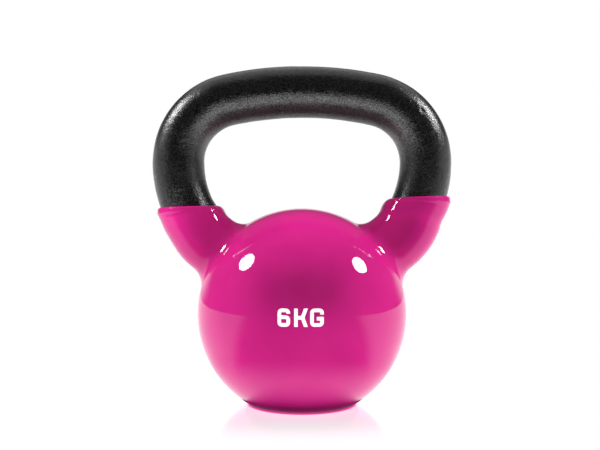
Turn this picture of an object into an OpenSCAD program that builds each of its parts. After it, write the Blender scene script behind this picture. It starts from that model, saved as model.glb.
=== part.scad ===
// Small kettlebell: a one-piece iron casting, dipped in vinyl up to its horns.
// The origin is the middle of the flat underside. +Z is up and X runs along the grip.

/* [Overall] */
// Height from the floor to the top of the grip
overall_h = 180.5; // [175:0.5:190]
// Width over the two sides of the handle
overall_w = 160; // [154:0.5:168]

/* [Ball] */
// Diameter of the iron ball, under the vinyl
ball_d = 107.7; // [100:0.1:110]
// Diameter of the flat foot of the ball, measured to its sharp corner
foot_d = 53.5; // [40:0.5:62]
// Rounding between the flat foot and the ball
foot_edge_r = 3; // [1:0.25:6]

/* [Grip] */
// Diameter of the round bar of the grip
bar_d = 27.5; // [24:0.1:31]
// Radius of the slightly bowed top of the grip, along its centre line
crown_r = 188; // [120:1:400]
// Radius of the two upper corners of the grip, along the centre line
corner_r = 34.2; // [28:0.1:40]

/* [Horns] */
// Radius of the sides of the handle, along the centre line
side_r = 60; // [50:1:80]
// Angle from upright at which the sides end and the horns begin to swell
side_turn = 24; // [16:1:30]
// Length over which each horn swells from the bar
flare_l = 8; // [4:0.5:12]
// Diameter of the horns where they meet the ball
horn_d = 29.5; // [28:0.1:32]
// Radius of the bend that turns each horn towards the middle of the ball
neck_r = 30; // [24:1:38]
// Largest fillet between a horn and the ball
root_fillet_r = 13; // [6:0.5:16]

/* [Vinyl jacket] */
// Thickness of the vinyl
skin_t = 1.9; // [1:0.1:3]
// Height of the jacket's rim above the floor, halfway between the horns
dip_h = 107.6; // [104:0.1:114]
// Tilt of the rim, because the casting hung slightly askew in the dip
dip_tilt = 2.3; // [-4:0.1:4]
// Height of the thickened lip that runs round the rim
lip_h = 3.4; // [2:0.2:5]
// How far the lip stands out from the rest of the jacket
lip_swell = 0.4; // [0.2:0.1:1]

/* [Hidden] */
$fn = 96;

iron_black = [0.13, 0.13, 0.14];
vinyl_pink = [0.84, 0.15, 0.54];

ball_r = ball_d / 2;
bar_r = bar_d / 2;
horn_r = horn_d / 2;

// The iron stands on the vinyl under it, so the ball's middle lies a skin higher.
ball_z = skin_t + sqrt(pow(ball_r, 2) - pow(foot_d / 2, 2));

// Middles of the arcs of the handle's centre line, as [x, z], from the top down.
// The side arcs start upright, level with the middles of the corner arcs.
side_x = overall_w / 2 - bar_r;
crown_z = overall_h - bar_r - crown_r;
corner_x = side_x - corner_r;
corner_z = crown_z + sqrt(pow(crown_r - corner_r, 2) - pow(corner_x, 2));
crown_half_angle = asin(corner_x / (crown_r - corner_r));
crown_mid = [0, crown_z];
corner_mid = [corner_x, corner_z];
side_mid = [side_x - side_r, corner_z];

// The flare is straight, and carries on from the end of the side arc.
side_end = side_mid + side_r * [cos(side_turn), -sin(side_turn)];
flare_end = side_end - flare_l * [sin(side_turn), cos(side_turn)];
neck_mid = flare_end - neck_r * [cos(side_turn), -sin(side_turn)];

// The neck bends on until the horn points at the middle of the ball.
neck_x = neck_mid[0];
neck_rise = neck_mid[1] - ball_z;
neck_reach = norm([neck_x, neck_rise]);
horn_lean = atan2(neck_x, neck_rise) + asin(neck_r / neck_reach);
leg_l = sqrt(pow(neck_reach, 2) - pow(neck_r, 2));

// The fillet is no larger than the straight part of the horn can take.
fillet_end = leg_l - 0.5;
fillet_room = (pow(fillet_end, 2) - pow(ball_r, 2) + pow(horn_r, 2)) / (2 * (ball_r - horn_r));
fillet_r = min(root_fillet_r, fillet_room);

// Lengths of the bar that meet end to end join as one solid because every second one is
// thinner by a hair and runs on a little into the lengths beside it.
tuck_l = 0.2;
tuck_hair = 0.04;

// Fillets and rounded edges cross the ball by this much, at a shallow angle, so that they
// meet it along a clean edge.
cross_hair = 0.05;

// Middle of the rounding at the edge of the foot, as a distance from the ball's middle
// and as a place
edge_reach = ball_r - foot_edge_r + cross_hair;
edge_z = skin_t + foot_edge_r;
edge_x = sqrt(pow(edge_reach, 2) - pow(ball_z - edge_z, 2));

// Each horn's root reaches in to this share of the way out from the ball's middle.
root_depth = 0.6;

far = 2 * overall_h;

// Half the section of the ball. Below edge_top it is narrowed to the flat foot and its rounded edge.
module ball_section(grow) {
    floor_z = skin_t - grow;
    edge_top = ball_z - (ball_r + grow) * (ball_z - edge_z) / edge_reach;
    intersection() {
        translate([0, ball_z]) circle(ball_r + grow);
        union() {
            translate([0, edge_top]) square(far);
            translate([0, floor_z]) square([edge_x, ball_z]);
            translate([edge_x, edge_z]) circle(foot_edge_r + grow);
        }
    }
}

// Half the section of a horn's root, about the horn's own axis from the ball's middle: a cone
// inside the ball, the fillet that blends it into the ball, and the straight end of the horn
module root_section(grow) {
    r = ball_r + grow - cross_hair;
    neck = horn_r + grow;
    fillet = fillet_r - grow;
    fillet_x = neck + fillet;
    fillet_y = sqrt(pow(r + fillet, 2) - pow(fillet_x, 2));
    cone_x = fillet_x * root_depth;
    cone_y = fillet_y * root_depth;
    difference() {
        polygon([[0, cone_y], [cone_x, cone_y], [fillet_x, fillet_y], [neck, fillet_y], [neck, leg_l], [0, leg_l]]);
        translate([fillet_x, fillet_y]) circle(fillet);
    }
}

module right_root(grow) {
    translate([0, 0, ball_z]) rotate([0, horn_lean, 0]) rotate_extrude() root_section(grow);
}

// Part of a ring of round bar, standing in the plane of the handle
module bend(mid, r, from, to, bar) {
    translate([mid[0], 0, mid[1]])
        rotate([90, 0, 0])
            rotate_extrude(angle = to - from, start = from)
                translate([r, 0]) circle(bar);
}

// A bend that is thinner by a hair and runs on into its neighbours at both ends
module tucked_bend(mid, r, from, to, bar) {
    run_on = tuck_l / r * 180 / PI;
    bend(mid, r, from - run_on, to + run_on, bar - tuck_hair);
}

// The right side of the bar, from the end of the crown down to the root of the horn
module right_bar(grow) {
    bar = bar_r + grow;
    horn = horn_r + grow;
    bend(corner_mid, corner_r, 0, 90 - crown_half_angle, bar);
    tucked_bend(side_mid, side_r, -side_turn, 0, bar);
    translate([flare_end[0], 0, flare_end[1]])
        rotate([0, side_turn, 0]) cylinder(h = flare_l, r1 = horn, r2 = bar);
    tucked_bend(neck_mid, neck_r, -horn_lean, -side_turn, horn);
}

module bar_form(grow) {
    tucked_bend(crown_mid, crown_r, 90 - crown_half_angle, 90 + crown_half_angle, bar_r + grow);
    right_bar(grow);
    mirror([1, 0, 0]) right_bar(grow);
}

// The revolve starts at the back, clear of the horns.
module ball_form(grow) {
    rotate([0, 0, 90]) rotate_extrude() ball_section(grow);
    right_root(grow);
    mirror([1, 0, 0]) right_root(grow);
}

// All the space between the rim's plane and a second plane, depth lower down
module below_rim(depth) {
    translate([0, 0, dip_h]) rotate([0, -dip_tilt, 0])
        translate([-far / 2, -far / 2, -depth]) cube([far, far, depth]);
}

// Solid iron, in one casting: the ball with its flat foot, the two horns and the grip
module iron_casting() {
    color(iron_black) {
        ball_form(0);
        bar_form(0);
    }
}

// The vinyl skin that the casting was dipped in, with the thicker lip at its rim
module vinyl_jacket() {
    color(vinyl_pink)
        difference() {
            union() {
                intersection() {
                    union() {
                        ball_form(skin_t);
                        bar_form(skin_t);
                    }
                    below_rim(far);
                }
                intersection() {
                    bar_form(skin_t + lip_swell);
                    below_rim(lip_h);
                }
            }
            ball_form(0);
            bar_form(0);
        }
}

iron_casting();
vinyl_jacket();
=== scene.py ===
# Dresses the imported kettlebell: glossy dipped vinyl, rough black enamel and a printed weight mark.
import math

import bpy
import numpy as np
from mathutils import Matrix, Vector


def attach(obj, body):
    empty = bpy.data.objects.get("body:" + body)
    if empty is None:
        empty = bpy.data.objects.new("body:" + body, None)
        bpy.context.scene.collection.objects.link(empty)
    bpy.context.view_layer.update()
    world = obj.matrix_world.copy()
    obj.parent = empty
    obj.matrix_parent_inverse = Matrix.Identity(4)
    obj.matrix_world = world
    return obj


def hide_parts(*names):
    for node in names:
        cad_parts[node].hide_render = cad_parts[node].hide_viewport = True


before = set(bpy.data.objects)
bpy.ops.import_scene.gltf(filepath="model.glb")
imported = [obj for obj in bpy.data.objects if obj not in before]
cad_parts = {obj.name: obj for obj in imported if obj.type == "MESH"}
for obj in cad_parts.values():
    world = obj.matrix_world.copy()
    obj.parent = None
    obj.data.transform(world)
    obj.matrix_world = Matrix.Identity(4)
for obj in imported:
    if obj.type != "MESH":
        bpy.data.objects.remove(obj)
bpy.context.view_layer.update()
mm = 0.001
print("frame loaded")

# Sizes of the casting, in millimetres
casting = {
    "overallHeight": 180.5,   # from the floor, so with the vinyl under the foot
    "overallWidth": 160.0,
    "ballRadius": 53.85,
    "footRadius": 26.75,      # of the sharp corner of the flat foot
    "footEdge": 3.0,          # rounding of that corner
    "barRadius": 13.75,
    "crownRadius": 188.0,     # centre line of the grip, from the top down
    "cornerRadius": 34.2,
    "sideRadius": 60.0,
    "sideTurn": 24.0,         # degrees
    "flareLength": 8.0,
    "hornRadius": 14.75,
    "neckRadius": 30.0,
    "lineStep": 0.05,         # between the points that the centre line is worked out at
}

# The vinyl round it: its thickness, and the plane that its rim lies in at each horn
skin = {
    "thickness": 1.9,
    "rimHeight": {-1: 105.2, 1: 110.4},   # at the middle of the left and of the right horn
    "rimTilt": {-1: 1.4, 1: 2.4},         # degrees
    "rimMiddle": 62.5,                    # how far either horn's middle is to the side there
}

ballMiddle = skin["thickness"] + math.sqrt(casting["ballRadius"] ** 2 - casting["footRadius"] ** 2)


# A step from 0 to 1 with soft ends: t * t * (3 - 2 * t)
def softStep(value, first, last):
    t = np.clip((value - first) / (last - first), 0, 1)
    return t * t * (3 - 2 * t)


# Running sum of values that stand a step apart: each adds the mean of two neighbours times the step.
def runningSum(values, step):
    return np.concatenate([[0], np.cumsum((values[1:] + values[:-1]) / 2 * step)])


# Lattice noise: random numbers at the corners of cells, blended between them by the smooth step
# t^3 * (t * (t * 6 - 15) + 10) along each axis.
def latticeNoise(points, cell, seed, size=32):
    lattice = np.random.default_rng(seed).uniform(-1, 1, (size, size, size))
    place = points / cell
    base = np.floor(place).astype(int)
    t = place - base
    t = t * t * t * (t * (t * 6 - 15) + 10)
    total = 0
    for corner in np.ndindex(2, 2, 2):
        at = (base + corner) % size
        share = np.prod(np.where(np.array(corner) == 1, t, 1 - t), axis=-1)
        total = total + share * lattice[at[..., 0], at[..., 1], at[..., 2]]
    return total


# Centre line of the right half of the handle, from the middle of the grip to the middle of the
# ball: the heading turns by arc length over radius, and the place is the running sum of headings.
# The bar swells to the horn's radius along the flare by a soft step.
def handleLine():
    c = casting
    turn = math.radians(c["sideTurn"])
    sideX = c["overallWidth"] / 2 - c["barRadius"]
    crownZ = c["overallHeight"] - c["barRadius"] - c["crownRadius"]
    cornerX = sideX - c["cornerRadius"]
    cornerZ = crownZ + math.sqrt((c["crownRadius"] - c["cornerRadius"]) ** 2 - cornerX ** 2)
    crownAngle = math.asin(cornerX / (c["crownRadius"] - c["cornerRadius"]))
    tighter = c["sideRadius"] - c["neckRadius"]
    neckX = sideX - c["sideRadius"] + tighter * math.cos(turn) - c["flareLength"] * math.sin(turn)
    neckRise = cornerZ - tighter * math.sin(turn) - c["flareLength"] * math.cos(turn) - ballMiddle
    reach = math.hypot(neckX, neckRise)
    lean = math.atan2(neckX, neckRise) + math.asin(c["neckRadius"] / reach)
    legLength = math.sqrt(reach ** 2 - c["neckRadius"] ** 2)
    parts = [
        (c["crownRadius"] * crownAngle, 1 / c["crownRadius"]),
        (c["cornerRadius"] * (math.pi / 2 - crownAngle), 1 / c["cornerRadius"]),
        (c["sideRadius"] * turn, 1 / c["sideRadius"]),
        (c["flareLength"], 0),
        (c["neckRadius"] * (lean - turn), 1 / c["neckRadius"]),
        (legLength, 0),
    ]
    lengths, bends = np.array(parts).T
    ends = np.cumsum(lengths)
    step = c["lineStep"]
    s = np.arange(0, ends[-1] + step, step)
    bend = bends[np.minimum(np.searchsorted(ends, s), len(parts) - 1)]
    heading = np.pi / 2 - runningSum(bend, step)
    x = runningSum(np.sin(heading), step)
    z = c["overallHeight"] - c["barRadius"] - runningSum(np.cos(heading), step)
    radius = c["barRadius"] + (c["hornRadius"] - c["barRadius"]) * softStep(s, ends[2], ends[3])
    return {"s": s, "x": x, "z": z, "heading": heading, "radius": radius,
            "lean": lean, "leg": legLength, "length": ends[-1]}


line = handleLine()


# A point of a tube round the centre line: the line's point plus radius times
# (cosine of v times the outward normal + sine of v times Y). Negative s is the left half.
def onTube(s, v, radius):
    side = np.where(s < 0, -1.0, 1.0)
    a = np.abs(s)
    x = np.interp(a, line["s"], line["x"])
    z = np.interp(a, line["s"], line["z"])
    h = np.interp(a, line["s"], line["heading"])
    out = radius * np.cos(v)
    return np.stack([side * (x + out * np.cos(h)), radius * np.sin(v) + 0 * x, z + out * np.sin(h)], -1)


# Radius of the bar at a place along either half of the centre line
def barRadiusAt(s):
    return np.interp(np.abs(s), line["s"], line["radius"])


# Height of a horn's rim over x: a straight line through the rim's middle
def rimAt(side, x):
    slope = math.tan(math.radians(skin["rimTilt"][side]))
    return skin["rimHeight"][side] + (x - side * skin["rimMiddle"]) * slope


# Where each line along the tube crosses the rim's plane, by halving the interval that holds it.
def rimCrossing(side, v):
    upperSide = 60.0          # a place along the centre line that is above either rim
    halvings = 40
    low = np.full(v.shape, upperSide)
    high = np.full(v.shape, line["length"] - line["leg"])
    for _ in range(halvings):
        middle = (low + high) / 2
        p = onTube(side * middle, v, casting["barRadius"])
        above = p[..., 2] > rimAt(side, p[..., 0])
        low = np.where(above, middle, low)
        high = np.where(above, high, middle)
    return (low + high) / 2


# Distance from the ball's middle to its skin, by the angle from straight down: the flat foot,
# then the rounded edge, then the ball.
def footReach(angle, grow):
    c = casting
    outer = c["ballRadius"] + grow
    floor = ballMiddle - skin["thickness"] + grow
    edge = c["footEdge"] + grow
    reachToEdge = c["ballRadius"] - c["footEdge"]
    drop = ballMiddle - skin["thickness"] - c["footEdge"]
    edgeX = math.sqrt(reachToEdge ** 2 - drop ** 2)
    sin, cos = np.sin(angle), np.cos(angle)
    flat = floor / np.maximum(cos, 1e-3)   # never divides by nothing
    along = edgeX * sin + drop * cos
    across = edgeX * cos - drop * sin
    rounded = along + np.sqrt(np.maximum(edge ** 2 - across ** 2, 0))
    onFlat = (cos > 0) & (flat * sin < edgeX)
    onEdge = angle < math.atan2(edgeX, drop)
    return np.where(onFlat, flat, np.where(onEdge, rounded, outer))


# Closed mesh from a grid: rows run along the shape, columns go round it, and the first and last
# rows are each a single point.
def closedMesh(name, grid):
    rows, columns = grid.shape[:2]
    body = grid[1:-1].reshape(-1, 3)
    points = np.concatenate([grid[:1, 0], body, grid[-1:, 0]]) * mm
    ring = np.arange(columns)
    beside = (ring + 1) % columns
    first = 1 + np.arange(rows - 3)[:, None] * columns
    quads = np.stack([first + ring, first + beside, first + columns + beside, first + columns + ring], -1)
    topFan = np.stack([np.zeros(columns, int), 1 + beside, 1 + ring], -1)
    lowest = 1 + (rows - 3) * columns
    bottomFan = np.stack([np.full(columns, len(points) - 1), lowest + ring, lowest + beside], -1)
    return meshFrom(name, points, quads.reshape(-1, 4), np.concatenate([topFan, bottomFan]))


# Puts points, four-cornered and three-cornered faces into a mesh. If the volume behind the
# four-cornered faces comes out negative, they point inwards and all faces are turned round.
def meshFrom(name, points, quads, fans):
    a, b, c, d = (points[quads[:, i]] for i in range(4))
    if np.sum(np.cross(a, b) * c) + np.sum(np.cross(a, c) * d) < 0:
        quads = quads[:, ::-1]
        fans = fans[:, ::-1]
    corners = np.concatenate([quads.ravel(), fans.ravel()])
    starts = np.concatenate([np.arange(len(quads)) * 4, len(quads) * 4 + np.arange(len(fans)) * 3])
    mesh = bpy.data.meshes.new(name)
    mesh.vertices.add(len(points))
    mesh.vertices.foreach_set("co", points.astype(np.float32).ravel())
    mesh.loops.add(len(corners))
    mesh.loops.foreach_set("vertex_index", corners.astype(np.int32))
    mesh.polygons.add(len(starts))
    mesh.polygons.foreach_set("loop_start", starts.astype(np.int32))
    mesh.update(calc_edges=True)
    mesh.validate()
    mesh.shade_smooth()
    piece = bpy.data.objects.new(name, mesh)
    bpy.context.scene.collection.objects.link(piece)
    return piece


# Gives a mesh one number for each point, which its material reads by name
def pointValues(mesh, name, values):
    attribute = mesh.attributes.new(name, "FLOAT", "POINT")
    attribute.data.foreach_set("value", values.astype(np.float32).ravel())


# Grip: rough black enamel on the bar
grip = {
    "rows": 420,
    "columns": 156,
    "hidden": 7.0,            # length that runs on inside the vinyl
    "lumps": [                # size, height and seed: slow waves of the casting, then its sandy grain
        (9.0, 0.10, 3),
        (1.9, 0.027, 5),
        (1.1, 0.0225, 8),
    ],
    "marks": [                # place along the grip, place round it, width, height
        (-39.0, 0.55, 1.6, 0.22),
        (62.0, -1.1, 1.3, -0.30),
    ],
    "underFrom": 0.48,        # it counts as the underside from this much facing down,
    "underSpan": 0.32,        # and wholly when it faces down by this much more
}


# The bar is a tube round the centre line. Its radius has slow waves, a sandy grain and a few
# single nubs and pits, each a bell curve of the distance from its middle. Each point also gets the
# number that tells the enamel how far it faces down, where its gloss is cut as painted shade.
def makeGrip():
    v = np.linspace(0, 2 * np.pi, grip["columns"], endpoint=False)
    left, right = (side * (rimCrossing(side, v) + grip["hidden"]) for side in (-1, 1))
    t = np.linspace(0, 1, grip["rows"])[:, None]
    s = left * (1 - t) + right * t
    radius = barRadiusAt(s)
    plain = onTube(s, v, radius)
    for size, height, seed in grip["lumps"]:
        radius = radius + height * latticeNoise(plain, size, seed)
    for along, around, width, height in grip["marks"]:
        turned = (v - around + np.pi) % (2 * np.pi) - np.pi
        away = (s - along) ** 2 + turned ** 2 * casting["barRadius"] ** 2
        radius = radius + height * np.exp(-away / width ** 2)
    body = onTube(s, v, radius)
    caps = [np.broadcast_to(body[i].mean(0), body[:1].shape) for i in (0, -1)]
    piece = closedMesh("enamel_grip", np.concatenate([caps[0], body, caps[1]]))
    normals = np.empty(len(piece.data.vertices) * 3, np.float32)
    piece.data.vertices.foreach_get("normal", normals)
    down = -normals[2::3]
    pointValues(piece.data, "underside", np.clip((down - grip["underFrom"]) / grip["underSpan"], 0, 1))
    return piece


enamelGrip = makeGrip()
print("grip made", len(enamelGrip.data.polygons))

# Jacket: the dipped vinyl skin
jacket = {
    "columns": 240,
    "edgeRows": 10,           # over the rounded rim
    "lipRows": 22,            # over the rim and down the lip
    "hornRows": 56,
    "filletRows": 26,
    "ballRows": 92,
    "lipHeight": 2.7,
    "lipSwell": 0.42,
    "lipFlare": 0.45,         # the outer side of the lip stands upright while the horn leans
    "lipRounding": 0.75,
    "lipDrawIn": 0.97,        # how far the rim draws in on the outer side
    "lipTuck": 0.6,           # how far inside the bar the rim starts
    "lipBlend": (0.5, 0.7),   # it falls to the skin from just above its height to just below
    "lipFade": 1.4,           # the gathered skin starts this far below it
    "shoulderRounding": 4.2,  # of the rim on the side that faces the other horn
    "gather": 0.80,           # extra thickness under the lip, on the outer side
    "gatherLength": 7.0,
    "slim": {-1: 0.65, 1: 0.15},   # and less than usual further down each horn
    "slimPlace": 16.0,
    "slimLength": 6.0,
    "filletOuter": 11.0,      # between horn and ball, on the outer side
    "filletInner": 9.0,
    "filletFront": 9.5,
}


# Outline of the lip by place round the horn: distance below the rim and growth over the iron. A
# quarter ellipse comes up from inside the bar and over the rounded rim, then a straight bead runs
# down and falls to the plain skin by a soft step. The cosine of v, squared, is how far a place
# faces outwards or towards the other horn.
def lipOutline(side, v):
    c = jacket
    thick = skin["thickness"]
    inward = np.clip(-np.cos(v), 0, 1) ** 2
    outward = np.clip(np.cos(v), 0, 1) ** 2
    rounding = c["lipRounding"] * (1 - inward) + c["shoulderRounding"] * inward
    high = thick + c["lipSwell"] - c["lipDrawIn"] * outward
    gather = (skinUnderLip(side, rounding, v) - thick) * outward
    t = np.linspace(0, np.pi / 2, c["edgeRows"])[:, None]
    over = rounding * (1 - np.cos(t))
    out = -c["lipTuck"] + (high + gather + c["lipTuck"]) * np.sin(t)
    u = np.linspace(0, 1, c["lipRows"] - c["edgeRows"] + 1)[1:, None]
    end = np.maximum(c["lipHeight"], rounding) + c["lipFade"]
    below = rounding + (end - rounding) * u
    fall = softStep(below, c["lipHeight"] - c["lipBlend"][0], c["lipHeight"] + c["lipBlend"][1])
    flare = c["lipFlare"] * (below - rounding) * np.clip(np.cos(v), 0, 1)
    growth = high + flare - (high - thick + flare) * fall * (1 - inward)
    return np.concatenate([over, below]), np.concatenate([out, growth])


# Thickness of the skin below the rim: the usual one, plus a bell curve where it gathers under the
# lip, less a bell curve where it thins further down.
def skinUnderLip(side, below, v):
    c = jacket
    inward = np.clip(-np.cos(v), 0, 1) ** 2
    outward = np.clip(np.cos(v), 0, 1) ** 2
    start = c["lipHeight"] + c["lipFade"]
    extra = c["gather"] * outward + c["lipSwell"] * inward
    slim = c["slim"][side] * outward * np.exp(-((below - c["slimPlace"]) / c["slimLength"]) ** 2)
    return skin["thickness"] + extra * np.exp(-((below - start) / c["gatherLength"]) ** 2) - slim


# Radius of the fillet between horn and ball: the outer or inner one times the cosine of v squared,
# plus the front one times its sine squared.
def filletAt(v):
    sideways = np.sin(v) ** 2
    outer = np.where(np.cos(v) > 0, jacket["filletOuter"], jacket["filletInner"])
    return outer * (1 - sideways) + jacket["filletFront"] * sideways


# One half of the skin, from the middle of the rim down the horn and over half the ball to the
# plane between the horns. Rows follow the tube, then the fillet's arc, then the ball's circle.
def halfJacket(side):
    v = np.linspace(0, 2 * np.pi, jacket["columns"], endpoint=False)
    thick = skin["thickness"]
    outer = casting["ballRadius"] + thick
    horn = casting["hornRadius"] + thick
    fillet = filletAt(v)
    filletFar = np.sqrt((outer + fillet) ** 2 - (horn + fillet) ** 2)
    start = rimCrossing(side, v)
    end = line["length"] - filletFar

    below, growth = lipOutline(side, v)
    bead = jacket["edgeRows"]
    growth[bead:] += (skinUnderLip(side, below[bead:], v) - thick) * np.clip(np.cos(v), 0, 1) ** 2
    s = start + below
    lip = onTube(side * s, v, barRadiusAt(s) + growth)

    t = np.linspace(0, 1, jacket["hornRows"] + 1)[1:, None]
    s = (start + below[-1]) * (1 - t) + end * t
    tube = onTube(side * s, v, barRadiusAt(s) + skinUnderLip(side, s - start, v))

    lean = line["lean"]
    axis = np.array([side * math.sin(lean), 0, math.cos(lean)])
    away = np.array([side * math.cos(lean), 0, -math.sin(lean)])
    radial = np.cos(v)[:, None] * away + np.sin(v)[:, None] * np.array([0, 1, 0])
    t = np.linspace(0, 1, jacket["filletRows"] + 1)[1:, None]
    turn = t * np.arctan2(filletFar, horn + fillet)
    across = (horn + fillet) - fillet * np.cos(turn)
    along = filletFar - fillet * np.sin(turn)
    middle = np.array([0, 0, ballMiddle])
    blend = middle + across[..., None] * radial + along[..., None] * axis

    first = np.arctan2(horn + fillet, filletFar)
    last = np.arctan2(math.sin(lean), -np.cos(v) * math.cos(lean))
    t = np.linspace(0, 1, jacket["ballRows"] + 1)[1:, None]
    theta = first * (1 - t) + last * t
    direction = np.cos(theta)[..., None] * axis + np.sin(theta)[..., None] * radial
    fromDown = np.arccos(np.clip(-direction[..., 2], -1, 1))
    ball = middle + footReach(fromDown, thick)[..., None] * direction

    cap = np.broadcast_to(lip[0].mean(0), lip[:1].shape)
    return np.concatenate([cap, lip, tube, blend, ball])


# Both halves meet row by row in the plane between the horns.
def makeJacket():
    right = halfJacket(1)
    left = halfJacket(-1)
    return closedMesh("vinyl_skin", np.concatenate([right, left[-2::-1]]))


vinylSkin = makeJacket()
print("jacket made", len(vinylSkin.data.polygons))

# Weight mark: 6 KG in plain block strokes
mark = {
    "height": 8.55,
    "stroke": 1.72,
    "middleZ": 51.75,
    "proud": 0.05,
    "sunk": 0.25,             # depth of the strokes' edges in the vinyl
    "layerGap": 0.004,        # each further stroke of a letter lies this much higher
    "cornerRounding": 1.35,
    "inset": 0.1,             # a cross stroke starts this far inside the upright's middle
    "pointGap": 0.25,         # between points along a stroke
    "fewestPoints": 12,
    "glyphs": {"six": (-11.65, 5.95), "k": (-3.82, 6.45), "g": (3.72, 6.45)},   # left edge and width
}


# A path with rounded corners, its points evenly apart. Each corner is a parabola between points a
# and b on its two sides: a * (1 - t)^2 + corner * 2 * t * (1 - t) + b * t^2.
def roundedPath(corners, rounding, steps=9):
    corners = np.array(corners, float)
    t = np.linspace(0, 1, steps)[:, None]
    points = [corners[0]]
    for before, here, after in zip(corners[:-2], corners[1:-1], corners[2:]):
        a = here + (before - here) / np.linalg.norm(before - here) * rounding
        b = here + (after - here) / np.linalg.norm(after - here) * rounding
        points.extend(a * (1 - t) ** 2 + here * 2 * t * (1 - t) + b * t ** 2)
    points.append(corners[-1])
    path = np.array(points)
    length = np.concatenate([[0], np.cumsum(np.linalg.norm(np.diff(path, axis=0), axis=1))])
    even = np.linspace(0, length[-1], max(mark["fewestPoints"], int(length[-1] / mark["pointGap"])))
    return np.stack([np.interp(even, length, path[:, i]) for i in (0, 1)], -1)


# A stroke is a flat band carried along its path and wrapped on the front of the ball, with its
# edges turned down into the vinyl: y is minus the root of reach^2 - x^2 - z^2. Places across it are
# shares of half its width. A slanting stroke can have level ends.
def strokeMesh(name, corners, lift, levelEnds):
    path = roundedPath(corners, mark["cornerRounding"])
    tangent = np.gradient(path, axis=0)
    tangent = tangent / np.linalg.norm(tangent, axis=1)[:, None]
    normal = np.stack([-tangent[:, 1], tangent[:, 0]], -1)
    if levelEnds:
        normal = np.stack([-1 / tangent[:, 1], 0 * tangent[:, 0]], -1)
    across = np.array([-1, -1, -0.94, -0.4, 0.4, 0.94, 1, 1]) * mark["stroke"] / 2
    height = np.array([0, 0, 1, 1, 1, 1, 0, 0]) * (mark["proud"] + lift)
    height[[0, -1]] = -mark["sunk"]
    flat = path[:, None] + across[None, :, None] * normal[:, None]
    x = flat[..., 0]
    z = flat[..., 1] + mark["middleZ"] - ballMiddle
    y = -np.sqrt((casting["ballRadius"] + skin["thickness"] + height) ** 2 - x ** 2 - z ** 2)
    grid = np.stack([x, y, z + ballMiddle], -1)
    caps = [np.broadcast_to(grid[i].mean(0), grid[:1].shape) for i in (0, -1)]
    return closedMesh(name, np.concatenate([caps[0], grid, caps[1]]))


# Corners of each stroke, in shares of the glyph's inner width and height
def makeMark():
    h = mark["height"] - mark["stroke"]
    half = mark["stroke"] / 2
    inset = mark["inset"]
    pieces = []
    for glyph, (edge, width) in mark["glyphs"].items():
        w = width - mark["stroke"]
        strokes = {
            "six": [[(w, 0.77 * h), (w, h), (0, h), (0, 0), (w, 0), (w, 0.53 * h), (inset, 0.53 * h)]],
            "k": [[(0, -half), (0, h + half)], [(inset, 0.5 * h), (0.62 * w, 0.5 * h)],
                  [(0.60 * w, 0.40 * h), (0.99 * w, h + half)], [(0.60 * w, 0.60 * h), (0.99 * w, -half)]],
            "g": [[(w, 0.71 * h), (w, h), (0, h), (0, 0), (w, 0), (w, 0.52 * h)],
                  [(0.48 * w, 0.43 * h), (w + 0.6 * half, 0.43 * h)]],
        }[glyph]
        for number, corners in enumerate(strokes):
            moved = [(x + edge + half, y - h / 2) for x, y in corners]
            slanting = glyph == "k" and number > 1
            pieces.append(strokeMesh(f"mark_{glyph}_{number}", moved, mark["layerGap"] * number, slanting))
    bpy.ops.object.select_all(action="DESELECT")
    for piece in pieces:
        piece.select_set(True)
    bpy.context.view_layer.objects.active = pieces[0]
    bpy.ops.object.join()
    pieces[0].name = "weight_mark"
    return pieces[0]


weightMark = makeMark()
print("mark made")


# A new material, with what is needed to build it
def newMaterial(name):
    material = bpy.data.materials.new(name)
    material.use_nodes = True
    nodes = material.node_tree.nodes
    return material, nodes, material.node_tree.links, nodes["Principled BSDF"]


# Cloudy noise fixed to the piece
def noiseNode(nodes, links, scale, detail):
    place = nodes.new("ShaderNodeTexCoord")
    noise = nodes.new("ShaderNodeTexNoise")
    noise.inputs["Scale"].default_value = scale
    noise.inputs["Detail"].default_value = detail
    links.new(place.outputs["Object"], noise.inputs["Vector"])
    return noise.outputs["Fac"]


# The numbers that pointValues gave a mesh
def attributeNode(nodes, name):
    read = nodes.new("ShaderNodeAttribute")
    read.attribute_name = name
    return read.outputs["Fac"]


# One colour up to a place in the value's range, another from a second place, and a ramp between
def rampNode(nodes, links, value, places, colours):
    ramp = nodes.new("ShaderNodeValToRGB")
    for element, place, colour in zip(ramp.color_ramp.elements, places, colours):
        element.position = place
        element.color = colour
    links.new(value, ramp.inputs["Fac"])
    return ramp.outputs["Color"]


# A value moved in a straight line from one range to another
def rangeNode(nodes, links, value, fromRange, toRange):
    node = nodes.new("ShaderNodeMapRange")
    for socket, number in zip(("From Min", "From Max", "To Min", "To Max"), (*fromRange, *toRange)):
        node.inputs[socket].default_value = number
    links.new(value, node.inputs["Value"])
    return node.outputs["Result"]


# A bump on a shader, its depth in metres
def addBump(nodes, links, shader, height, strength, depth):
    bump = nodes.new("ShaderNodeBump")
    bump.inputs["Strength"].default_value = strength
    bump.inputs["Distance"].default_value = depth
    links.new(height, bump.inputs["Height"])
    links.new(bump.outputs["Normal"], shader.inputs["Normal"])


vinyl = {
    "deep": (0.85, 0.020, 0.305, 1),
    "bright": (0.93, 0.026, 0.335, 1),
    "cloudScale": 45,
    "cloudRange": (0.3, 0.7),
    "roughness": 0.03,
    "specular": 0.45,
    "tint": (1.0, 0.80, 0.92, 1),
    "orangePeel": 0.04,
    "peelScale": 160,
    "peelDepth": 0.0006,
}


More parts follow.
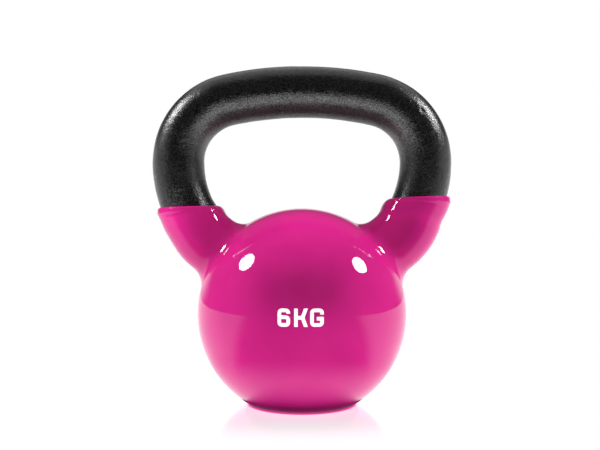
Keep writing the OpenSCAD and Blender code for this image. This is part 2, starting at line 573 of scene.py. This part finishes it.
# Glossy dipped vinyl: faint clouds of colour and a slow orange-peel bump under a clear gloss
def vinylMaterial():
    c = vinyl
    material, nodes, links, shader = newMaterial("glossyVinyl")
    clouds = noiseNode(nodes, links, c["cloudScale"], 3)
    colour = rampNode(nodes, links, clouds, c["cloudRange"], (c["deep"], c["bright"]))
    links.new(colour, shader.inputs["Base Color"])
    peel = noiseNode(nodes, links, c["peelScale"], 1)
    addBump(nodes, links, shader, peel, c["orangePeel"], c["peelDepth"])
    shader.inputs["Roughness"].default_value = c["roughness"]
    shader.inputs["Specular IOR Level"].default_value = c["specular"]
    shader.inputs["Specular Tint"].default_value = c["tint"]
    return material


enamel = {
    "dark": (0.003, 0.003, 0.0033, 1),
    "worn": (0.022, 0.022, 0.023, 1),
    "wornRange": (0.36, 0.72),
    "blotchScale": 150,
    "blotchRange": (0.3, 0.7),
    "roughness": (0.14, 0.26),   # between the smoothest and the roughest blotches
    "sandScale": 1500,
    "sandRange": (0.36, 0.66),
    "shine": (0.20, 0.62),    # how strongly it mirrors in the grain's hollows and on its tops
    # painted shade: the enamel mirrors less where the bar faces down, dimming the ball's pink reflection
    # in its underside
    "underside": 0.25,        # share of that which is left where the bar faces down
    "grain": 0.40,
    "grainDepth": 0.0004,
}


# Black stoving enamel over a sand casting: a grainy bump that mirrors unevenly, and more weakly where the
# bar faces down, a painted shade that dims the ball's pink reflection in its underside
def enamelMaterial():
    c = enamel
    material, nodes, links, shader = newMaterial("castEnamel")
    blotch = noiseNode(nodes, links, c["blotchScale"], 3)
    sand = noiseNode(nodes, links, c["sandScale"], 2)
    colour = rampNode(nodes, links, sand, c["wornRange"], (c["dark"], c["worn"]))
    links.new(colour, shader.inputs["Base Color"])
    rough = rangeNode(nodes, links, blotch, c["blotchRange"], c["roughness"])
    links.new(rough, shader.inputs["Roughness"])
    shine = nodes.new("ShaderNodeMath")
    shine.operation = "MULTIPLY"
    links.new(rangeNode(nodes, links, sand, c["sandRange"], c["shine"]), shine.inputs[0])
    under = attributeNode(nodes, "underside")
    links.new(rangeNode(nodes, links, under, (0, 1), (1, c["underside"])), shine.inputs[1])
    links.new(shine.outputs["Value"], shader.inputs["Specular IOR Level"])
    addBump(nodes, links, shader, sand, c["grain"], c["grainDepth"])
    return material


ink = {
    "pale": (0.88, 0.88, 0.88, 1),
    "bright": (0.93, 0.93, 0.93, 1),
    "speckleScale": 700,
    "roughness": 0.35,
    # the ink's glow is painted light, keeping it white in the shade on the ball's front
    "glow": 0.56,
}


# White printing ink, very slightly uneven. It also glows a little: painted light that keeps it white where
# the front of the ball lies in shade.
def inkMaterial():
    c = ink
    material, nodes, links, shader = newMaterial("whiteInk")
    speckle = noiseNode(nodes, links, c["speckleScale"], 2)
    colour = rampNode(nodes, links, speckle, (0, 1), (c["pale"], c["bright"]))
    links.new(colour, shader.inputs["Base Color"])
    shader.inputs["Roughness"].default_value = c["roughness"]
    shader.inputs["Emission Color"].default_value = (1, 1, 1, 1)
    shader.inputs["Emission Strength"].default_value = c["glow"]
    return material


# Gives a piece its material and its place in the part
def dress(piece, material):
    piece.data.materials.clear()
    piece.data.materials.append(material)
    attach(piece, "root")


dress(enamelGrip, enamelMaterial())
dress(vinylSkin, vinylMaterial())
dress(weightMark, inkMaterial())
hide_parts("iron_casting")
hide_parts("vinyl_jacket")
print("finishes set")


# The studio, in metres. Direction from the kettlebell, by degrees round from the front and degrees
# above the floor: sine and minus cosine of the first times the cosine of the second, and its sine
def towards(turn, height):
    turn, height = np.radians(turn), np.radians(height)
    level = np.cos(height)
    return np.stack([np.sin(turn) * level, -np.cos(turn) * level, np.sin(height) + 0 * turn], -1)


# Open mesh from a grid of points, with one number for each point that its material reads
def sheetMesh(name, points, values):
    rows, columns = points.shape[:2]
    index = np.arange(rows * columns).reshape(rows, columns)
    quads = np.stack([index[:-1, :-1], index[:-1, 1:], index[1:, 1:], index[1:, :-1]], -1)
    mesh = bpy.data.meshes.new(name)
    mesh.from_pydata(points.reshape(-1, 3).tolist(), [], quads.reshape(-1, 4).tolist())
    pointValues(mesh, "brightness", values)
    sheet = bpy.data.objects.new(name, mesh)
    bpy.context.scene.collection.objects.link(sheet)
    return sheet


# Material that only glows, as brightly as the sheet's own numbers say
def glowMaterial(name):
    material, nodes, links, shader = newMaterial(name)
    links.new(attributeNode(nodes, "brightness"), shader.inputs["Emission Strength"])
    shader.inputs["Base Color"].default_value = (0, 0, 0, 1)
    shader.inputs["Emission Color"].default_value = (1, 1, 1, 1)
    shader.inputs["Specular IOR Level"].default_value = 0
    return material, nodes, links, shader


# Which kinds of ray a piece of staging shows itself to
def showTo(sheet, *rays):
    for ray in ("camera", "diffuse", "glossy", "transmission", "volume_scatter", "shadow"):
        setattr(sheet, "visible_" + ray, ray in rays)


floorSheets = {
    "ringStart": 0.0005,      # the sheets have a small hole in the middle, under the foot
    "ringFine": (0.01, 0.09, 80),      # first ring, last ring and number of rings
    "ringCoarse": (0.094, 4.0, 50),
    "turns": 181,
    "sheetGap": 0.0002,       # between one sheet and the next below it
    # The white floor glows less round the kettlebell, where its faint mirror makes up the rest when seen
    # level; from above, the dimmer disc is a painted soft shadow
    "mirrorGlow": 0.67,       # the white floor's own glow where it also mirrors
    "mirrorLevel": 0.5,
    "mirrorAhead": (0.030, 0.088),     # the mirroring fades out between these distances ahead
    "mirrorRim": (0.072, 0.104),       # and between these distances all round
    "mirrorIndex": 2.2,
    "roughness": 0.05,
    # Painted light: the floor's glow is tinted pink round the foot, for light thrown down by the pink
    # ball, and deep pink in a thin line at the foot's edge
    "paintedPink": (1.0, 0.755, 0.88, 1),    # pink light thrown on the floor round the foot
    "paintedPinkGlow": 0.23,
    "paintedPinkFade": (0.034, 0.062),
    "line": (0.60, 0.03, 0.23, 1),     # and in a thin line at its edge
    "lineFade": (0.0282, 0.0302),
    "bounceNear": 1.12,       # light that the floor throws back up, close by and further off
    "bounceFar": 0.55,
    "bounceFade": (0.09, 0.30),
    # Painted shadow: the ball's shade round the foot is a dark ring painted into the light the floor
    # throws up and into its gloss, with a little painted light let in at the foot's very edge
    "litFrom": 0.0325,        # the ball keeps it off a ring round the foot,
    "litTo": 0.0345,
    "litAhead": 0.057,        # which is wider in front,
    "aheadFade": (15.0, 75.0),         # between these degrees to each side,
    "edgeFade": (0.0283, 0.0312),      # but some light gets in right at the edge of the foot
    "edgeBounce": 0.95,
    "edgeGloss": 0.1,
    "glossGlow": 1.30,        # brightness of the floor in the gloss,
    "glossDip": 0.25,         # which is less in a soft ring,
    "dipPlace": 0.075,
    "dipWidth": 0.025,
    "dimFade": (0.050, 0.085),         # and dim in front, from these distances ahead
    "dimAside": (54.0, 72.0),          # and to these degrees to each side
    "dimGlow": 0.10,
}


# The floor is three round sheets in rings. The camera meets a white one that mirrors faintly near the
# kettlebell. There it glows less, which from above shows as a painted soft shadow, and it is painted
# pink round the foot and in a thin line at its edge, as painted light from the ball. Soft light comes up
# from the second, and the gloss meets the third, dim ahead. In both, the ball's shade round the foot is a
# painted shadow ring. Their brightness is made of soft steps over the distance from the middle and the
# angle from straight ahead, and the dip in the gloss is a bell curve.
def makeFloor():
    c = floorSheets
    rings = [[c["ringStart"]], np.linspace(*c["ringFine"]), np.geomspace(*c["ringCoarse"])]
    ring = np.concatenate(rings)[:, None]
    turn = np.linspace(0, 2 * np.pi, c["turns"])[None]
    points = np.stack([ring * np.sin(turn), -ring * np.cos(turn), 0 * ring * turn], -1)
    ahead = -points[..., 1]
    aside = np.degrees(np.abs(np.arctan2(points[..., 0], ahead)))

    fade = np.maximum(softStep(ahead, *c["mirrorAhead"]), softStep(ring, *c["mirrorRim"]))
    near = 1 - softStep(ring, *c["paintedPinkFade"])
    # dimmer where it mirrors, round the kettlebell: from above a painted soft shadow
    seen = (c["mirrorGlow"] + c["paintedPinkGlow"] * near) * (1 - fade) + fade
    floor = sheetMesh("floor", points, seen)
    pointValues(floor.data, "mirror", c["mirrorLevel"] * (1 - fade))
    # painted pink light round the foot, and a painted pink line at its edge
    pinkness = 0.5 * near * (1 - fade) + 0.5 * (1 - softStep(ring, *c["lineFade"]))
    pointValues(floor.data, "paintedPink", pinkness)
    material, nodes, links, shader = glowMaterial("paleFloor")
    links.new(attributeNode(nodes, "mirror"), shader.inputs["Specular IOR Level"])
    ramp = nodes.new("ShaderNodeValToRGB")
    ramp.color_ramp.elements[0].color = (1, 1, 1, 1)
    ramp.color_ramp.elements[1].color = c["line"]
    ramp.color_ramp.elements.new(0.5).color = c["paintedPink"]
    links.new(attributeNode(nodes, "paintedPink"), ramp.inputs["Fac"])
    links.new(ramp.outputs["Color"], shader.inputs["Emission Color"])
    shader.inputs["Roughness"].default_value = c["roughness"]
    shader.inputs["IOR"].default_value = c["mirrorIndex"]
    floor.data.materials.append(material)
    showTo(floor, "camera")

    # the painted shadow ring round the foot, wider in front, and painted light at the foot's edge
    litTo = c["litTo"] + (c["litAhead"] - c["litTo"]) * (1 - softStep(aside, *c["aheadFade"]))
    lit = softStep(ring, c["litFrom"], litTo)
    edge = 1 - softStep(ring, *c["edgeFade"])
    far = softStep(ring, *c["bounceFade"])
    glow = c["bounceNear"] * (1 - far) + c["bounceFar"] * far
    below = points - [0, 0, c["sheetGap"]]
    bounce = sheetMesh("floor_bounce", below, glow * (lit + c["edgeBounce"] * edge))
    bounce.data.materials.append(glowMaterial("floorBounce")[0])
    showTo(bounce, "diffuse")

    dim = softStep(ring, *c["dimFade"]) * (1 - softStep(aside, *c["dimAside"]))
    glow = c["glossGlow"] - c["glossDip"] * np.exp(-((ring - c["dipPlace"]) / c["dipWidth"]) ** 2)
    glow = (glow * (1 - dim) + c["dimGlow"] * dim) * (lit + c["edgeGloss"] * edge)
    gloss = sheetMesh("floor_gloss", below - [0, 0, c["sheetGap"]], glow)
    gloss.data.materials.append(glowMaterial("floorGloss")[0])
    showTo(gloss, "glossy")


room = {
    "sky": 0.10,
    "backdropGlow": 1.0,
    "backdropMiddle": (0, 1, 0.10),     # direction in which the pale backdrop stands
    "backdropReach": (0.95, 1, 0.28),   # how far it reaches to each side and up
    "backdropInner": 0.60,              # it fades into the room from this share of the way out
    "whiteRadius": 6.0,
}


# A white ball of backdrop all round, which only the camera meets
def makeBackdrop():
    u, w = np.meshgrid(np.linspace(-180, 180, 65), np.linspace(-90, 90, 33))
    backdrop = sheetMesh("backdrop", room["whiteRadius"] * towards(u, w), np.ones(u.shape))
    backdrop.data.materials.append(glowMaterial("whiteBackdrop")[0])
    showTo(backdrop, "camera")


# The room's brightness by direction: dim, with a pale backdrop behind the kettlebell that fades
# out with the distance from its middle, each axis measured in its own reach
def makeSky():
    world = bpy.data.worlds.new("paleRoom")
    world.use_nodes = True
    nodes, links = world.node_tree.nodes, world.node_tree.links
    place = nodes.new("ShaderNodeTexCoord")
    fromMiddle = nodes.new("ShaderNodeVectorMath")
    fromMiddle.operation = "SUBTRACT"
    fromMiddle.inputs[1].default_value = room["backdropMiddle"]
    stretch = nodes.new("ShaderNodeVectorMath")
    stretch.operation = "DIVIDE"
    stretch.inputs[1].default_value = room["backdropReach"]
    away = nodes.new("ShaderNodeVectorMath")
    away.operation = "LENGTH"
    fade = nodes.new("ShaderNodeMapRange")
    fade.interpolation_type = "SMOOTHSTEP"
    fade.inputs["From Min"].default_value = room["backdropInner"]
    fade.inputs["From Max"].default_value = 1.0
    fade.inputs["To Min"].default_value = room["backdropGlow"]
    fade.inputs["To Max"].default_value = room["sky"]
    links.new(place.outputs["Generated"], fromMiddle.inputs[0])
    links.new(fromMiddle.outputs["Vector"], stretch.inputs[0])
    links.new(stretch.outputs["Vector"], away.inputs[0])
    links.new(away.outputs["Value"], fade.inputs["Value"])
    links.new(fade.outputs["Result"], nodes["Background"].inputs["Strength"])
    nodes["Background"].inputs["Color"].default_value = (1, 1, 1, 1)
    bpy.context.scene.world = world


# Lamps that light the kettlebell and show as highlights in its gloss
lamps = [
    {"name": "left_lamp", "turn": -88.2, "height": 42.0, "across": 0.30, "tall": 0.26, "power": 6.45},
    {"name": "right_lamp", "turn": 87.2, "height": 39.3, "across": 0.28, "tall": 0.25, "power": 6.0},
]

# A wide soft box that lights it without a highlight
softBoxes = [
    {"name": "top_box", "turn": 180.0, "height": 62.0, "across": 0.9, "tall": 0.9, "power": 4.6},
]

# Dim wide sheets of light that only the handle's gloss meets
handleBoxes = [
    {"name": "handle_top", "turn": 180.0, "height": 72.0, "across": 1.6, "tall": 1.3, "power": 4.2},
    {"name": "handle_left", "turn": -88.0, "height": 8.0, "across": 2.2, "tall": 0.55, "power": 2.9},
    {"name": "handle_right", "turn": 92.0, "height": 8.0, "across": 2.2, "tall": 0.55, "power": 2.6},
    {"name": "left_halo", "turn": -84.0, "height": 40.0, "across": 0.62, "tall": 0.62, "power": 2.6},
    {"name": "right_halo", "turn": 86.0, "height": 38.0, "across": 0.62, "tall": 0.62, "power": 2.6},
]

# Level sheets of light facing up, which only the handle's gloss meets: one on the floor ahead and
# one in the window just over the ball
reflectors = [
    {"name": "low_reflector", "across": 0.6, "deep": 0.44, "place": (0, -0.31, 0.003), "power": 3.0},
    {"name": "window_reflector", "across": 0.13, "deep": 0.07, "place": (0, 0.012, 0.113), "power": 0.032},
]

# Narrow spots on one place each of the horns. A shade has a negative power: it takes light away
# there, as a dark card does in a studio.
hornSpots = [
    {"name": "left_spot", "place": (-0.430, -0.320, 0.130), "aim": (-0.0690, -0.008, 0.093),
     "power": 4.2, "angle": 4.3, "blend": 0.35, "radius": 0.01},
    {"name": "left_edge_shade", "place": (-0.57, 0.06, 0.09), "aim": (-0.074, 0, 0.092),
     "power": -7.0, "angle": 4.4, "blend": 0.8, "radius": 0.01},
    {"name": "left_wedge_shade", "place": (-0.20, -0.53, 0.13), "aim": (-0.0450, -0.010, 0.0925),
     "power": -0.95, "angle": 2.9, "blend": 0.8, "radius": 0.01},
    {"name": "right_wedge_shade", "place": (0.25, -0.52, 0.13), "aim": (0.0520, -0.010, 0.0885),
     "power": -1.6, "angle": 2.6, "blend": 0.8, "radius": 0.01},
    {"name": "right_spot", "place": (0.560, -0.060, 0.130), "aim": (0.060, 0, 0.090),
     "power": 1.6, "angle": 6.0, "blend": 0.8, "radius": 0.03},
]

# The same for the ball: shades where its front mirrors the dark side of the room, fills below
# them, and a spot on its top
frontSpots = [
    {"name": "middle_shade", "place": (0, -0.60, 0.12), "aim": (0.001, -0.0525, 0.0672),
     "power": -1.75, "angle": 3.6, "blend": 0.8, "radius": 0.01},
    {"name": "left_shade", "place": (0, -0.60, 0.12), "aim": (-0.0140, -0.0525, 0.0600),
     "power": -1.35, "angle": 3.1, "blend": 0.8, "radius": 0.01},
    {"name": "right_shade", "place": (0, -0.60, 0.12), "aim": (0.0155, -0.0525, 0.0600),
     "power": -1.35, "angle": 3.1, "blend": 0.8, "radius": 0.01},
    {"name": "left_fill", "place": (0, -0.60, 0.03), "aim": (-0.0075, -0.0550, 0.0500),
     "power": 1.3, "angle": 3.4, "blend": 0.8, "radius": 0.01},
    {"name": "right_fill", "place": (0, -0.60, 0.03), "aim": (0.0075, -0.0550, 0.0500),
     "power": 1.3, "angle": 3.4, "blend": 0.8, "radius": 0.01},
    {"name": "top_spot", "place": (0, -0.40, 0.52), "aim": (0, -0.003, 0.103),
     "power": 1.0, "angle": 4.0, "blend": 0.8, "radius": 0.01},
]

handleOnly = bpy.data.collections.new("handle_only")
handleOnly.objects.link(enamelGrip)


# A light of any kind, put into the scene
def addLight(name, kind, power):
    data = bpy.data.lights.new(name, kind)
    data.energy = power
    light = bpy.data.objects.new(name, data)
    bpy.context.scene.collection.objects.link(light)
    return light


# An area light that faces the kettlebell from a metre away
def makeLight(lamp, shape, givesHighlights):
    light = addLight(lamp["name"], "AREA", lamp["power"])
    light.data.shape = shape
    light.data.size, light.data.size_y = lamp["across"], lamp["tall"]
    light.visible_glossy = givesHighlights
    direction = towards(lamp["turn"], lamp["height"])
    light.location = direction + np.array([0, 0, ballMiddle * mm])
    light.rotation_euler = Vector(-direction).to_track_quat("-Z", "Y").to_euler()
    return light


# A level area light that faces up
def makeReflector(sheet):
    light = addLight(sheet["name"], "AREA", sheet["power"])
    light.data.shape = "RECTANGLE"
    light.data.size, light.data.size_y = sheet["across"], sheet["deep"]
    light.location = sheet["place"]
    light.rotation_euler = (math.pi, 0, 0)
    return light


# A spot that gives no highlight, turned from its place to its aim
def makeSpot(spot):
    light = addLight(spot["name"], "SPOT", spot["power"])
    light.data.spot_size, light.data.spot_blend = math.radians(spot["angle"]), spot["blend"]
    light.data.shadow_soft_size = spot["radius"]
    showTo(light, "diffuse")
    light.location = spot["place"]
    light.rotation_euler = (Vector(spot["aim"]) - light.location).to_track_quat("-Z", "Y").to_euler()


# Light that only the handle's gloss meets
def forHandle(light):
    showTo(light, "glossy")
    light.light_linking.receiver_collection = handleOnly


view = {"lens": 50.0, "sensorWidth": 36.0, "place": (-0.00105, -0.4477, 0.0954)}


# A level camera straight ahead
def makeCamera():
    data = bpy.data.cameras.new("camera")
    data.lens = view["lens"]
    data.sensor_width = view["sensorWidth"]
    camera = bpy.data.objects.new("camera", data)
    bpy.context.scene.collection.objects.link(camera)
    camera.location = view["place"]
    camera.rotation_euler = (math.pi / 2, 0, 0)
    bpy.context.scene.camera = camera


makeFloor()
makeBackdrop()
makeSky()
for lamp in lamps:
    makeLight(lamp, "ELLIPSE", True)
for box in softBoxes:
    makeLight(box, "RECTANGLE", False)
for spot in hornSpots + frontSpots:
    makeSpot(spot)
for box in handleBoxes:
    forHandle(makeLight(box, "ELLIPSE", True))
for sheet in reflectors:
    forHandle(makeReflector(sheet))
makeCamera()
bpy.context.scene.view_settings.view_transform = "Standard"
print("studio set")
